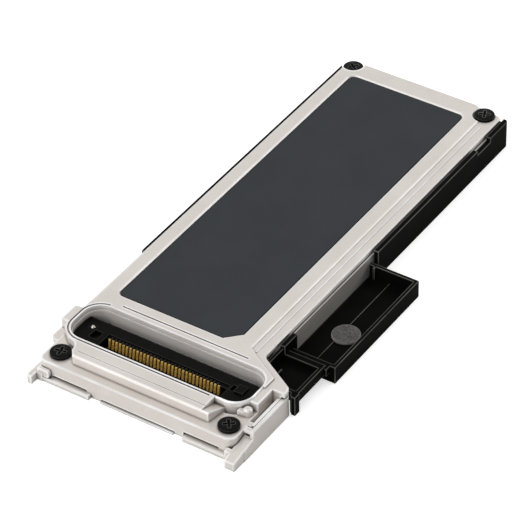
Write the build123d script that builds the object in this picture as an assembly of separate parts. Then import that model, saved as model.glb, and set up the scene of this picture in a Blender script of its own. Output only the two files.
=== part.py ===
from build123d import *
import math
import os

# Removable solid state drive canister, in millimetres.
# X runs across the canister, Y from the connector end to the plain end, Z up from the flat underside.
# The model is drawn from the front left corner of the dark panel and moved at the end,
# so that the origin lies under the middle of the whole part.

# How far solids that are joined reach into each other
overlap = 0.1

# Dark heat panel let into the cover
panel_width = 26.8
panel_length = 84.1
panel_sheet = 0.35
panel_sink = 0.18
panel_corner = 1.2
panel_cut = 2.75
panel_gap = 0.2

# Cast top cover over the drive
body_height = 6.5
cover_plate = 1.2
left_margin = 3.4
right_margin = 6.9
back_margin = 4.8
back_step = 0.7
back_corner = 1.5
neck_round = 1.5
edge_round = 0.3
plateau_chamfer = 0.22
left_bevel = 0.5
left_bevel_drop = 0.28
rounded_from = 5.0
border_inset = 3.3
border_drop = 0.3
rib_width = 0.5
rib_spacing = 1.3
border_bend = 0.55
border_neck = 1.3
seam_inset = 3.0
seam_place = -2.75
seam_groove = 0.3
seam_groove_depth = 0.25
seam_reach = 1.2
rib_stop = 1.6
border_neck_gap = 0.05
neck_corner_cut = 0.6
back_step_slant = 1.0
plateau_ring = 0.3
plateau_turn = 0.7
plateau_cut_left = 1.2
plateau_cut_right = 0.7
plateau_cut_back = 1.6
stiffener = 0.8
stiffener_inset = 4.0
stiffener_spacing = 3.0
stiffener_front = 2.0
stiffener_back = 8.0

# Head of the cover, round the connector window
neck_start = -0.3
neck_angle = 30.0
head_reach = 6.3
head_back = 0.6
block_front = -19.45
ledge_depth = 2.0
ledge_drop = 2.2
ledge_corner = 1.4
deck_corner = 1.8
deck_reach = 2.8
front_flare = 1.0
head_wall = 1.0
gutter_width = 1.2
gutter_drop = 3.4
gutter_lap = 0.3
gutter_front_wall = 1.2
rim_width = 0.6
rim_drop = 1.7
rim_front = -16.35
gutter_back = -7.4
well_side = 1.2
well_end_wall = 2.3
well_back = -4.5
well_front = -14.3
well_corner = 3.4
window_step = 0.3
window_step_drop = 0.9
ring_wall = 0.65
moat_width = 0.75
moat_drop = 3.3
moat_top_drop = 1.9
moat_end_gap = 0.1
collar_radius = 0.9
collar_web = 1.2
collar_drop = 0.7
collar_round = 0.3
collar_right = 0.35
collar_front = 0.1
cheek_front = -12.9
right_cheek_front = -12.3
bar_inset = 6.6
bar_slant = 1.4
bar_end = 5.4
bar_chamfer = 0.3
bar_seat_gap = 0.5
bar_hollow_left = 3.0
bar_hollow_right = 1.2
bar_hollow_back = 0.2
tube_clearance = 0.4
ramp_nose = 1.6
ramp_length = 2.3
ramp_drop = 1.5
ring_groove = 0.35
ring_groove_depth = 0.3
ring_groove_end = 0.8
faint_line = 1.5
faint_line_width = 0.16
faint_line_depth = 0.08
tab_reach = 1.75
upper_tab = 4.9
lower_tab = 3.7
tab_thickness = 1.2
tab_offset = 0.1
tab_inset = 2.1
tab_step_drop = 0.2
tab_bevel = 0.3
tab_slant = 0.6
tab_slant_back = 0.8
upper_tab_root = 0.3
lower_tab_root = 0.5
lower_tab_inset = 1.0

# Silver base under the head
base_floor = 1.0
base_lap = 1.5
base_split = -5.9
base_neck_inset = 0.4
sill_setback = 0.5
base_wall = 0.75
wall_gap = 0.1
lip_reach = 1.8
lip_height = 1.8
lip_rise = 1.4
lip_length = 6.6
lip_front_width = 2.3
lip_width = 3.4
lip_inset = 0.1
lip_step = 3.25
hook_place = 6.3
hook_length = 1.15
hook_drop = 0.2
hook_sheet = 0.55
wall_corner = 0.6
foot_reach = 1.05
foot_width = 1.3
foot_length = 5.0
foot_round = 0.6
arm_length = 2.65
arm_height = 1.6
arm_round = 0.4
slot_inset = 3.2
slot_length = 7.8
slot_height = 0.45
middle_slot_inset = 14.3
middle_slot_length = 16.6
middle_slot_height = 0.35
middle_slot_gap = 0.25
post_width = 2.2
right_slot_inset = 32.9
boss_radius = 1.7
board_boss = 0.3
board_boss_radius = 1.0
board_boss_inset = 3.0
board_boss_front = 2.0
board_boss_back = 1.0

# Black moulded case
case_floor = 0.8
case_side = 0.55
case_wall = 1.1
case_gap = 0.05
case_top_drop = 0.3
case_back_inset = 1.1
case_end = 0.9
case_corner = 0.8
case_wall_start = 37.2
case_left_start = 13.4
case_left_low = 4.0
case_tongue_inset = 0.7
case_neck_reach = 6.0
notch_inset = 13.5
notch_length = 5.2
notch_drop = 1.0

# Tray and pocket moulded on the right of the case
tray_start = 6.0
tray_length = 30.3
tray_reach = 9.75
tray_wall = 0.75
tray_height = 3.9
tray_step = 0.2
tray_step_width = 4.75
tray_rib_offset = 0.3
tray_rib_width = 0.4
tray_rib_depth = 0.6
pocket_reach = 8.1
pocket_end = 3.9
pocket_length = 8.4
pocket_bar = 1.4
pocket_height = 4.4
pocket_under = 2.2
pocket_floor = 0.8
pocket_step_reach = 0.5
pocket_step_lap = 0.6
pocket_rib_place = 2.4
pocket_rib_width = 0.3
pocket_rib_front = 3.0
pocket_rib_length = 2.0
pocket_rib_drop = 0.5
leg_width = 1.45
leg_reach = 0.2
leg_back_reach = 0.45
leg_extra = 0.1
post_length = 4.3
strip_drop = 0.6
strip_front = 0.3
pad_radius = 2.85
pad_thickness = 0.4
pad_inset = 1.8
pad_from_front = 12.0

# Folded sheet pan that carries the drive
pan_sheet = 0.3
pan_gap = 0.15
pan_end_gap = 0.1
pan_start = 2.6
pan_side_start = 8.6
pan_side_slant = 1.4
pan_side_end = 4.9
pan_back_inset = 4.0
pan_top_gap = 0.1
pan_boss_gap = 0.2

# Drive, its socket and the adapter board
drive_width = 22.0
drive_back_inset = 5.0
drive_sheet = 0.8
drive_front = -0.9
hold_radius = 1.0
edge_key = 5.6
edge_key_width = 1.2
edge_key_depth = 3.4
standoff_radius = 2.4
standoff_floor = 0.3
thermal_sheet = 0.5
chip_height = 1.0
controller_side = 12.0
controller_place = 20.0
cache_width = 11.0
cache_depth = 7.5
cache_place = 32.0
memory_width = 18.0
memory_depth = 12.5
memory_front_place = 46.5
memory_back_place = 62.5
power_side = 4.0
power_height = 0.8
power_place = 7.8
power_offset = 6.0
chip_chamfer = 0.12
part_rows = 2
part_columns = 5
part_start = 8.5
part_pitch = 1.6
part_front = 6.4
part_row_pitch = 2.0
part_width = 0.8
part_depth = 1.3
part_height = 0.6
thermal_margin = 1.0
thermal_front = 11.6
thermal_back = 6.0
film = 0.15
film_margin = 1.5
film_front_gap = 1.0
film_back_gap = 4.0
adapter_sheet = 0.8
adapter_front = -15.6
adapter_clearance = 0.3
adapter_neck_inset = 2.0
adapter_right_inset = 1.7
adapter_shoulder = -0.6
adapter_left_step = 0.4
adapter_boss_gap = 0.4
tongue_margin = 1.4
tongue_gap = 0.7
adapter_screw_place = -1.75
adapter_screw_inset = 2.45
adapter_boss_radius = 1.4
adapter_screw_right_inset = 5.1
socket_depth = 5.0
socket_grip = 2.5
socket_height = 0.8
socket_slack = 0.05
socket_margin = 0.4
socket_chamfer = 0.4

# Board to board connector in the well
row_offset = -0.4
contact_pitch = 0.8
contact_count = 32
contact_width = 0.46
contact_sheet = 0.22
contact_lean = 0.3
contact_drop = 0.2
contact_tip = 0.3
contact_tip_slant = 0.12
connector_drop = 1.95
connector_gap_back = 1.9
connector_slot = 3.6
connector_slot_floor = 0.25
connector_back_wall = 3.5
slot_margin = 2.0
connector_gap = 0.1
comb_height = 0.3
comb_depth = 0.9
comb_tooth = 0.3
comb_reach = 0.5
key_depth = 0.8
left_key_near = 1.2
left_key_far = 3.0
left_key_front = 1.6
left_key_back = 0.6
right_key_near = 1.5
right_key_far = 3.4
right_key_front = 0.4
right_key_back = 1.8
key_pit_near = 0.4
key_pit_far = 1.2
key_pit_front = 0.2
key_pit_back = 1.4
pin_radius = 0.45
pin_inset = 2.5
pin_back = 1.0
pin_rise = 0.3
pin_hole_radius = 0.7

# Screws
head_radius = 2.13
head_height = 0.8
head_round = 0.4
cross_length = 2.3
cross_width = 0.42
cross_depth = 0.45
shank_radius = 1.0
shank_clearance = 0.05
screw_bottom = 0.6
tip_gap = 0.1
sunk_radius = 2.3
sunk_drop = 0.4
deep_drop = 1.3
ear_sheet = 0.6
ear_wall = 0.5
ear_radius = 2.1
front_screw_inset = 2.9
front_screw_back = 1.3
right_screw_shift = 0.5
right_screw_forward = 0.2
back_left_inset = 1.5
back_left_front = 1.3
back_right_inset = 3.25
back_right_front = 2.45
seat_radius = 2.7
small_head_radius = 1.4
small_head_height = 0.6
small_head_chamfer = 0.15
small_shank_radius = 0.75

# Places worked out from the sizes above
cover_left = -left_margin
cover_right = panel_width + right_margin
cover_back = panel_length + back_margin
cover_under = body_height - cover_plate
case_back = cover_back - case_back_inset
notch_start = cover_back - notch_inset
border_left = cover_right - border_inset
border_top = body_height - border_drop
neck_slope = math.tan(math.radians(neck_angle))
block_right = cover_right + head_reach
rim_inner = block_right + gutter_width
rim_outer = rim_inner + rim_width
base_right = rim_outer + wall_gap + base_wall
corner_back = neck_start - neck_slope * (base_right - cover_right)
ledge_top = body_height - ledge_drop
ledge_front = block_front - ledge_depth
flange_front = ledge_front - front_flare
lip_front = flange_front - lip_reach
gutter_top = body_height - gutter_drop
rim_top = body_height - rim_drop
well_left = cover_left + well_side
well_right = block_right - well_end_wall
shelf_top = body_height - connector_drop
housing_back = well_back - connector_gap_back
tab_left = cover_left - tab_reach
tab_back = well_back - tab_inset
tab_split = tab_back - upper_tab
tab_front = tab_split - lower_tab
front_left_screw = (cover_left + front_screw_inset, block_front + front_screw_back)
front_right_screw = (
    block_right - front_screw_inset + right_screw_shift,
    block_front + front_screw_back - right_screw_forward,
)
back_left_screw = (cover_left + back_left_inset, cover_back - back_left_front)
back_right_screw = (cover_right - back_right_inset, cover_back - back_right_front)
sunk_seat = body_height - sunk_drop
deep_seat = body_height - deep_drop
ear_under = deep_seat - ear_sheet
pan_inner = cover_right + pan_gap
pan_outer = pan_inner + pan_sheet
case_inner = pan_outer + 2 * case_gap
case_right = case_inner + case_wall
case_left = cover_left - case_gap - case_side
case_top = body_height - case_top_drop
tray_right = case_right + tray_reach
tray_back = tray_start + tray_length
pocket_right = case_right + pocket_reach
adapter_under = base_floor + board_boss
adapter_top = adapter_under + adapter_sheet
chip_top = cover_under - thermal_sheet
drive_top = chip_top - chip_height
drive_under = drive_top - drive_sheet
drive_left = (panel_width - drive_width) / 2
drive_right = drive_left + drive_width
drive_back = panel_length - drive_back_inset
pan_floor_top = case_floor + pan_sheet
adapter_screws = (
    (cover_left + adapter_screw_inset, adapter_screw_place),
    (cover_right - adapter_screw_right_inset, adapter_screw_place),
)
bar_left = cover_left + bar_inset - bar_slant
bar_right = front_right_screw[0] - bar_end
ramp_right = bar_right + ramp_length
ring_front = well_front - ring_wall
deck_right = front_right_screw[0] + deck_reach
middle_slot_start = cover_left + middle_slot_inset
middle_slot_end = middle_slot_start + middle_slot_length
wall_down = (middle_slot_start - post_width, middle_slot_end + post_width)
front_slots = (
    (cover_left + slot_inset, slot_length, base_floor + slot_height),
    (middle_slot_start, middle_slot_length, middle_slot_height + middle_slot_gap),
    (cover_left + right_slot_inset, slot_length, base_floor + slot_height),
)


def brick(x, y, z):
    """Box between the given lowest and highest x, y and z."""
    size = Box(x[1] - x[0], y[1] - y[0], z[1] - z[0], align=(Align.MIN, Align.MIN, Align.MIN))
    return Pos(x[0], y[0], z[0]) * size


def slab(outline, low, high):
    """Upright solid over a closed outline of points."""
    face = make_face(Polyline(*outline, close=True))
    return Pos(0, 0, low) * extrude(face, high - low)


def round_brick(x, y, z, radius):
    """Box with its four upright edges rounded."""
    plan = RectangleRounded(x[1] - x[0], y[1] - y[0], radius)
    return Pos((x[0] + x[1]) / 2, (y[0] + y[1]) / 2, z[0]) * extrude(plan, z[1] - z[0])


def rod(centre, radius, low, high):
    """Upright cylinder."""
    return Pos(centre[0], centre[1], low) * Cylinder(
        radius, high - low, align=(Align.CENTER, Align.CENTER, Align.MIN)
    )


def along_x(profile, x):
    """Solid of a closed (y, z) profile drawn out along X."""
    face = make_face(Polyline(*[(x[0], y, z) for y, z in profile], close=True))
    return extrude(face, x[1] - x[0], dir=(1, 0, 0))


def along_y(profile, y):
    """Solid of a closed (x, z) profile drawn out along Y."""
    face = make_face(Polyline(*[(x, y[0], z) for x, z in profile], close=True))
    return extrude(face, y[1] - y[0], dir=(0, 1, 0))


def neck_line(x, inset=0.0):
    """Y of the slanting edge of the neck at x, moved inwards by inset."""
    return neck_start - neck_slope * (x - cover_right) - inset / math.cos(math.radians(neck_angle))


def panel_outline(grow):
    """Plan of the dark panel: one cut corner and three small round ones."""
    cut = panel_cut + grow * (2 - math.sqrt(2))
    corners = (
        (-grow, -grow),
        (panel_width + grow - cut, -grow),
        (panel_width + grow, cut - grow),
        (panel_width + grow, panel_length + grow),
        (-grow, panel_length + grow),
    )
    face = make_face(Polyline(*corners, close=True))
    round_ones = [
        v for v in face.vertices()
        if v.X < 0.5 * panel_width or v.Y > 0.5 * panel_length
    ]
    return fillet(round_ones, panel_corner + grow)


def cross_recess(centre, top):
    """Cross cut for a screwdriver, open at the top."""
    half = cross_length / 2
    width = cross_width / 2
    first = brick(
        (centre[0] - half, centre[0] + half),
        (centre[1] - width, centre[1] + width),
        (top - cross_depth, top + 1),
    )
    second = brick(
        (centre[0] - width, centre[0] + width),
        (centre[1] - half, centre[1] + half),
        (top - cross_depth, top + 1),
    )
    return first + second


def cover_screw(centre, seat, tip):
    """Low round head with a cross recess, on its shank."""
    head = rod(centre, head_radius, seat, seat + head_height)
    head = chamfer(head.edges().group_by(Axis.Z)[-1], head_round / 2, head_round)
    shank = rod(centre, shank_radius, tip, seat)
    return head + shank - cross_recess(centre, seat + head_height)


def small_screw(centre, seat, tip):
    """Flat headed board screw."""
    head = rod(centre, small_head_radius, seat, seat + small_head_height)
    head = chamfer(head.edges().group_by(Axis.Z)[-1], small_head_chamfer)
    shank = rod(centre, small_shank_radius, tip, seat)
    return head + shank


def soften(face, point, radius):
    """Round the corner of a flat outline that lies nearest the point."""
    nearest = min(
        face.vertices(),
        key=lambda v: (v.X - point[0]) ** 2 + (v.Y - point[1]) ** 2,
    )
    return fillet(nearest, radius)


def disc(centre, radius):
    """Flat disc in plan."""
    return Pos(centre[0], centre[1]) * Circle(radius)


def window_face(grow=0.0):
    """Plan of the connector window, grown outwards by grow."""
    x = (well_left - grow, well_right + grow)
    y = (well_front - grow, well_back + grow)
    plan = RectangleRounded(x[1] - x[0], y[1] - y[0], well_corner + grow)
    return Pos((x[0] + x[1]) / 2, (y[0] + y[1]) / 2) * plan


def brick_face(x, y):
    """Flat rectangle between the given x and y."""
    plan = Rectangle(x[1] - x[0], y[1] - y[0])
    return Pos((x[0] + x[1]) / 2, (y[0] + y[1]) / 2) * plan


def head_face(inset):
    """Plan of the head at the level of its ledge, moved inwards by inset."""
    left = cover_left + inset
    deck = deck_right - inset
    right = rim_outer - inset
    front = ledge_front + inset
    side = cover_right - inset
    corners = (
        (left, head_back),
        (left, front),
        (deck, front),
        (deck, rim_front),
        (right, rim_front),
        (right, neck_line(right, inset)),
        (side, neck_line(side, inset)),
        (side, head_back),
    )
    face = make_face(Polyline(*corners, close=True))
    face = soften(face, (left, front), ledge_corner)
    return soften(face, (deck, front), deck_corner)


def raised_face(back_right, crease):
    """Plan of the raised face: bar, window block, neck and body, cut back round the front screws."""
    seat = front_left_screw
    corners = (
        (cover_left, cheek_front),
        (cover_left, cover_back),
        *back_right,
        *crease,
        (well_right, right_cheek_front),
        (well_right - well_corner, well_front - ring_wall),
        (bar_right, well_front - ring_wall),
        (bar_right, block_front),
        (bar_left + bar_slant, block_front),
        (bar_left, seat[1] + bar_seat_gap),
        (seat[0], seat[1] + seat_radius),
    )
    face = make_face(Polyline(*corners, close=True))
    face += window_face(ring_wall)
    return face - disc(front_left_screw, seat_radius) - disc(front_right_screw, seat_radius)


def border_face():
    """Plan of the whole raised face with its lowered border."""
    neck_right = base_right - border_neck_gap
    neck_cut = neck_right - neck_corner_cut
    step = back_right_screw[0] - sunk_radius
    back_right = (
        (step - back_step_slant, cover_back),
        (step, cover_back - back_step),
        (cover_right, cover_back - back_step),
    )
    crease = (
        (cover_right, neck_start),
        (neck_cut, neck_line(neck_cut)),
        (neck_right, corner_back - neck_corner_cut),
        (neck_right, gutter_back),
        (block_right, gutter_back),
        (block_right, right_cheek_front),
    )
    face = raised_face(back_right, crease)
    face = soften(face, (cover_right, cover_back - back_step), back_corner)
    return soften(face, (cover_right, neck_start), neck_round)


def plateau_face():
    """Plan of the highest face, inside the lowered border."""
    bend = cover_right - border_bend
    edge = well_right + ring_wall + plateau_ring
    screw = back_right_screw
    back_right = (
        (screw[0] - sunk_radius - plateau_cut_left, cover_back),
        (screw[0] - sunk_radius + plateau_cut_right, screw[1] + plateau_cut_back),
        (border_left, screw[1]),
    )
    crease = (
        (border_left, neck_start + plateau_turn),
        (bend, neck_line(bend, border_neck)),
        (edge, neck_line(edge, border_neck)),
        (edge, well_back - well_corner),
        (well_right, well_back - well_corner),
    )
    return raised_face(back_right, crease) - disc(screw, sunk_radius)


def beside_panel(point):
    """Whether the point lies within a millimetre of the panel's rectangle."""
    return -1 < point.X < panel_width + 1 and -1 < point.Y < panel_length + 1


def left_edge_room():
    """Wedge that takes off the left edge of the cover, up to the rear screw."""
    slope = left_bevel_drop / left_bevel
    return along_y(
        (
            (cover_left - 1, body_height - left_bevel_drop - slope),
            (cover_left + left_bevel + 1, body_height + slope),
            (cover_left - 1, body_height + slope),
        ),
        (well_back, back_left_screw[1] - sunk_radius - ear_wall),
    )


def cover_plate_solid():
    """Plate over the drive: lowered border, plateau with rounded edges, panel seat and rib."""
    low = Pos(0, 0, cover_under) * extrude(border_face(), cover_plate - border_drop)
    edges = [
        e for e in low.edges().group_by(Axis.Z)[-1]
        if e.center().X > border_left + 1 and e.length > rounded_from
    ]
    low = fillet(edges, edge_round)
    high_face = plateau_face() - window_face() - panel_outline(panel_gap)
    high = Pos(0, 0, border_top) * extrude(high_face, border_drop)
    top = high.edges().group_by(Axis.Z)[-1]
    broken = [e for e in top if e.length > rounded_from or beside_panel(e.center())]
    high = chamfer(broken, plateau_chamfer)
    seat_floor = body_height - panel_sheet - panel_sink
    plate = low + high
    plate -= Pos(0, 0, seat_floor) * extrude(panel_outline(panel_gap), panel_sheet + 1)
    rib_x = border_left + rib_spacing
    rib = along_y(
        (
            (rib_x - rib_width / 2, border_top - overlap),
            (rib_x - rib_width / 5, border_top + border_drop / 2),
            (rib_x + rib_width / 5, border_top + border_drop / 2),
            (rib_x + rib_width / 2, border_top - overlap),
        ),
        (neck_start, back_right_screw[1] - sunk_radius - rib_stop),
    )
    seam = brick(
        (seam_inset, border_left + seam_reach),
        (seam_place - seam_groove / 2, seam_place + seam_groove / 2),
        (body_height - seam_groove_depth, body_height + 1),
    )
    return plate + rib - seam - left_edge_room()


def back_left_ear():
    """Lug under the deeper seat at the rear left corner."""
    centre = back_left_screw
    reach = sunk_radius + ear_wall
    inside = brick(
        (cover_left + case_gap, centre[0] + reach),
        (centre[1] - reach, cover_back),
        (ear_under, cover_under),
    )
    wall = rod(centre, reach, ear_under, cover_under) & inside
    return wall + rod(centre, ear_radius, ear_under, deep_seat)


def sunk_seats():
    """Round seats of the two rear screws, the left one deeper."""
    shallow = rod(back_right_screw, sunk_radius, sunk_seat, body_height + 1)
    return shallow + rod(back_left_screw, sunk_radius, deep_seat, body_height + 1)


def head_shell():
    """Hollow head: deck, side walls, front wall with its slots, bar and window tube."""
    shell = Pos(0, 0, base_floor) * extrude(head_face(0), ledge_top - base_floor)
    roof_under = ledge_top - head_wall
    hollow = Pos(0, 0, base_floor - 1) * extrude(head_face(head_wall), roof_under - base_floor + 1)
    gutter_keep = brick(
        (block_right - gutter_lap, rim_outer + 1),
        (rim_front - 1, head_back),
        (0, body_height),
    )
    shell -= hollow - gutter_keep
    shell -= brick(
        (cover_left + head_wall, cover_right - head_wall),
        (well_back + head_wall, head_back + 1),
        (base_floor - 1, body_height),
    )
    bar = brick(
        (bar_left + bar_slant, bar_right),
        (block_front, well_front),
        (ledge_top, cover_under),
    )
    cheeks = Pos(0, 0, ledge_top - overlap) * extrude(
        (border_face() & cheek_room()) - disc(front_left_screw, seat_radius),
        cover_under - ledge_top + overlap,
    )
    shell += bar + bar_ramp() + cheeks
    shell -= brick(
        (bar_left + bar_hollow_left, bar_right - bar_hollow_right),
        (block_front + head_wall, well_front - bar_hollow_back),
        (ledge_top - head_wall - overlap, body_height - head_wall),
    )
    tube = Pos(0, 0, adapter_top + tube_clearance) * extrude(
        window_face(ring_wall) - window_face(),
        cover_under - adapter_top - tube_clearance,
    )
    rim = brick((rim_inner, rim_outer), (rim_front, corner_back - 1), (gutter_top - 1, rim_top))
    return shell + tube + rim


def ring_groove_room():
    """Narrow groove round the left end and the front of the window's ring."""
    ring = window_face(ring_wall + ring_groove) - window_face(ring_wall)
    groove = Pos(0, 0, body_height - ring_groove_depth) * extrude(ring, body_height)
    front = brick(
        (cover_left, bar_right - 1), (block_front, well_front + well_corner), (0, 2 * body_height)
    )
    left = brick((cover_left, ring_groove_end), (well_front, head_back), (0, 2 * body_height))
    return groove & (front + left)


def bar_relief():
    """Chamfer along the front edge of the bar, and the faint line behind it."""
    high = body_height + 1
    front = along_x(
        (
            (block_front - 1, body_height - bar_chamfer - 1),
            (block_front + bar_chamfer + 1, high),
            (block_front - 1, high),
        ),
        (bar_left, ramp_right + 1),
    )
    line = brick(
        (bar_left + bar_slant, bar_right + 1),
        (block_front + faint_line, block_front + faint_line + faint_line_width),
        (body_height - faint_line_depth, high),
    )
    return front + line


def bar_ramp():
    """Right end of the bar: falls away to the back and is cut off at a slant."""
    low = ledge_top - overlap
    ramp = along_x(
        (
            (block_front, low),
            (block_front, body_height),
            (ring_front, body_height - ramp_drop),
            (well_front, body_height - ramp_drop),
            (well_front, low),
        ),
        (bar_right - 1, ramp_right),
    )
    slant = slab(
        (
            (bar_right + ramp_nose, block_front - 1),
            (bar_right + ramp_nose, block_front),
            (ramp_right, ring_front),
            (ramp_right + 1, ring_front),
            (ramp_right + 1, block_front - 1),
        ),
        0,
        body_height,
    )
    return ramp - slant


def moat_room():
    """Low channel between the ring of the window and the seat of the right front screw."""
    channel = window_face(ring_wall + moat_width) - window_face(ring_wall)
    low = Pos(0, 0, body_height - moat_drop) * extrude(channel, moat_drop - moat_top_drop)
    corner = brick(
        (ramp_right, block_right),
        (ring_front - moat_width, right_cheek_front - moat_end_gap),
        (0, body_height),
    )
    return low & corner


def seat_collar():
    """Rounded rib on the ring beside the right front screw."""
    place = (well_right + ring_wall + collar_right, well_front + ring_wall - collar_front)
    post = rod(place, collar_radius, ledge_top - head_wall, body_height - collar_drop)
    post = chamfer(post.edges().group_by(Axis.Z)[-1], collar_round)
    web = (
        (well_right - ring_wall, place[1]),
        (well_right - ring_wall, ring_front),
        (place[0], place[1] - collar_radius),
        place,
    )
    post += slab(web, ledge_top - head_wall, body_height - collar_web)
    return post - extrude(window_face(ring_wall / 2), body_height)


def cheek_room():
    """Plan of the part of the block that stands on the deck."""
    return brick_face((cover_left, rim_outer), (block_front, well_back))


def left_tabs():
    """Two stepped tabs on the left flank of the head."""
    step = ledge_top - tab_step_drop
    upper = slab(
        (
            (cover_left + upper_tab_root, tab_back),
            (tab_left, tab_back - tab_bevel),
            (tab_left, tab_split),
            (cover_left + upper_tab_root, tab_split),
        ),
        step,
        border_top,
    )
    lower = slab(
        (
            (cover_left + lower_tab_root, tab_back - lower_tab_inset),
            (tab_left, tab_back - lower_tab_inset),
            (tab_left - tab_offset, tab_front + tab_slant_back),
            (tab_left + tab_slant, tab_front),
            (cover_left + lower_tab_root, tab_front),
        ),
        step - tab_thickness,
        step,
    )
    return upper + lower


def top_cover():
    """Cast cover: plate over the drive, neck, and the head with its connector window."""
    cover = cover_plate_solid() + back_left_ear() - sunk_seats()
    cover += head_shell() + left_tabs()
    cover -= Pos(0, 0, adapter_top) * extrude(window_face(), body_height)
    step_floor = body_height - window_step_drop
    cover -= Pos(0, 0, step_floor) * extrude(window_face(window_step), body_height)
    cover -= brick(
        (block_right, rim_inner),
        (rim_front + gutter_front_wall, gutter_back),
        (gutter_top, body_height + 1),
    )
    cover -= ring_groove_room() + bar_relief() + moat_room()
    cover += seat_collar()
    cover += brick(wall_down, (ledge_front, ledge_front + head_wall), (0, base_floor + overlap))
    for start, length, top in front_slots:
        cover -= brick(
            (start, start + length),
            (ledge_front - 1, ledge_front + head_wall + overlap),
            (-1, top),
        )
    first = drive_right + stiffener_inset
    for place in (first, first + stiffener_spacing):
        cover += brick(
            (place, place + stiffener),
            (pan_start + stiffener_front, back_right_screw[1] - stiffener_back),
            (pan_floor_top, cover_under),
        )
    for centre in (front_left_screw, front_right_screw):
        cover -= rod(centre, shank_radius + shank_clearance, 0, ledge_top)
    for centre in (back_left_screw, back_right_screw):
        cover -= rod(centre, shank_radius + shank_clearance, 0, body_height)
    return cover


def heat_panel():
    """Dark panel in its seat."""
    low = body_height - panel_sheet - panel_sink
    return Pos(0, 0, low) * extrude(panel_outline(0), panel_sheet)


def head_room():
    """Space that the head takes above the base, with its clearance."""
    return Pos(0, 0, base_floor) * extrude(head_face(-wall_gap), body_height)


def neck_room():
    """Space that the neck and the base take beside the case, with its clearance."""
    side = base_right + wall_gap
    return slab(
        (
            (case_inner, corner_back - case_neck_reach),
            (side, corner_back - case_neck_reach),
            (side, neck_line(side, -wall_gap)),
            (case_inner, neck_line(case_inner, -wall_gap)),
        ),
        -1,
        body_height + 1,
    )


def base_floor_plate():
    """Floor of the base with its front flange, cut away where the front wall of the head comes down."""
    corners = (
        (cover_left, flange_front),
        (rim_outer, flange_front),
        (rim_outer, neck_line(rim_outer, base_neck_inset)),
        (case_inner, neck_line(case_inner, base_neck_inset)),
        (case_inner, base_split - wall_gap),
        (cover_left, base_split - wall_gap),
    )
    floor = extrude(make_face(Polyline(*corners, close=True)), base_floor)
    floor -= brick(
        (cover_left - 1, case_inner),
        (base_split - base_lap, base_split + 1),
        (-1, base_floor / 2),
    )
    floor -= brick(
        (wall_down[0] - wall_gap, wall_down[1] + wall_gap),
        (flange_front - 1, ledge_front + head_wall + wall_gap),
        (-1, base_floor + 1),
    )
    start, length = front_slots[1][:2]
    floor += brick(
        (start + wall_gap, start + length - wall_gap),
        (flange_front + sill_setback, ledge_front + head_wall + wall_gap),
        (0, middle_slot_height),
    )
    return floor


def lip_top(y):
    """Height of the lip's sloping top at y."""
    return lip_height + lip_rise * (y - lip_front) / lip_length


def lip_profile(front, back):
    """Side view of the lip between two places along it."""
    return ((front, 0), (back, 0), (back, lip_top(back)), (front, lip_top(front)))


def base_side_wall():
    """Right wall of the base, slanting down at its front end."""
    hook_front = lip_front + hook_place
    start = lip_front + lip_step
    back = corner_back - 2 * wall_gap
    profile = (
        (start, 0),
        (start, lip_top(start)),
        (hook_front, lip_top(hook_front)),
        (hook_front, rim_top),
        (back, rim_top),
        (back, 0),
    )
    wall = along_x(profile, (rim_outer + wall_gap, base_right))
    wall = fillet(wall.edges().filter_by(Axis.Z).sort_by(Axis.X)[-1], wall_corner)
    hook = brick(
        (deck_right + wall_gap, base_right - base_wall / 2),
        (hook_front, hook_front + hook_length),
        (rim_top - hook_drop - hook_sheet, rim_top - hook_drop),
    )
    wall += hook
    sill = brick(
        (rim_outer - base_wall, base_right - base_wall / 2),
        (start, corner_back - 1),
        (0, base_floor),
    )
    return wall + sill


def base_lip():
    """Thick lip at the front right corner, rising to the back."""
    side = base_right - lip_inset
    back = lip_front + lip_length
    corner = (side - lip_width, side - lip_front_width)
    lip = along_x(lip_profile(lip_front, back), (corner[1], side))
    lip = fillet(lip.edges().filter_by(Axis.Z).group_by(Axis.Y)[0], edge_round)
    lip += along_x(lip_profile(flange_front, ledge_front), (corner[0], corner[1] + edge_round))
    return lip - head_room()


def base_foot():
    """Hooked foot at the front left corner."""
    left = cover_left - foot_reach
    foot = round_brick(
        (left, left + foot_width * 2),
        (lip_front, lip_front + foot_length),
        (0, lip_height),
        foot_round,
    )
    foot -= brick(
        (left + foot_width, left + foot_width * 2 + 1),
        (lip_front - 1, flange_front - wall_gap),
        (-1, lip_height + 1),
    )
    arm = brick(
        (left + foot_width, left + foot_width + arm_length),
        (flange_front + wall_gap, ledge_front),
        (base_floor + wall_gap, base_floor + wall_gap + arm_height),
    )
    arm = fillet(arm.edges().filter_by(Axis.Y).group_by(Axis.X)[-1], arm_round)
    return foot + arm - head_room()


def base_plate():
    """Silver base under the head: floor, front lip and foot, right wall and screw bosses."""
    body = base_floor_plate() + base_side_wall() + base_lip() + base_foot()
    for centre in (front_left_screw, front_right_screw):
        body += rod(centre, boss_radius, 0, ledge_top - head_wall)
        body -= rod(centre, shank_radius + shank_clearance, screw_bottom - tip_gap, ledge_top)
    for x in (well_left + board_boss_inset, well_right - board_boss_inset):
        for y in (well_front + board_boss_front, housing_back - board_boss_back):
            body += rod((x, y), board_boss_radius, base_floor / 2, adapter_under)
    return body


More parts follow.
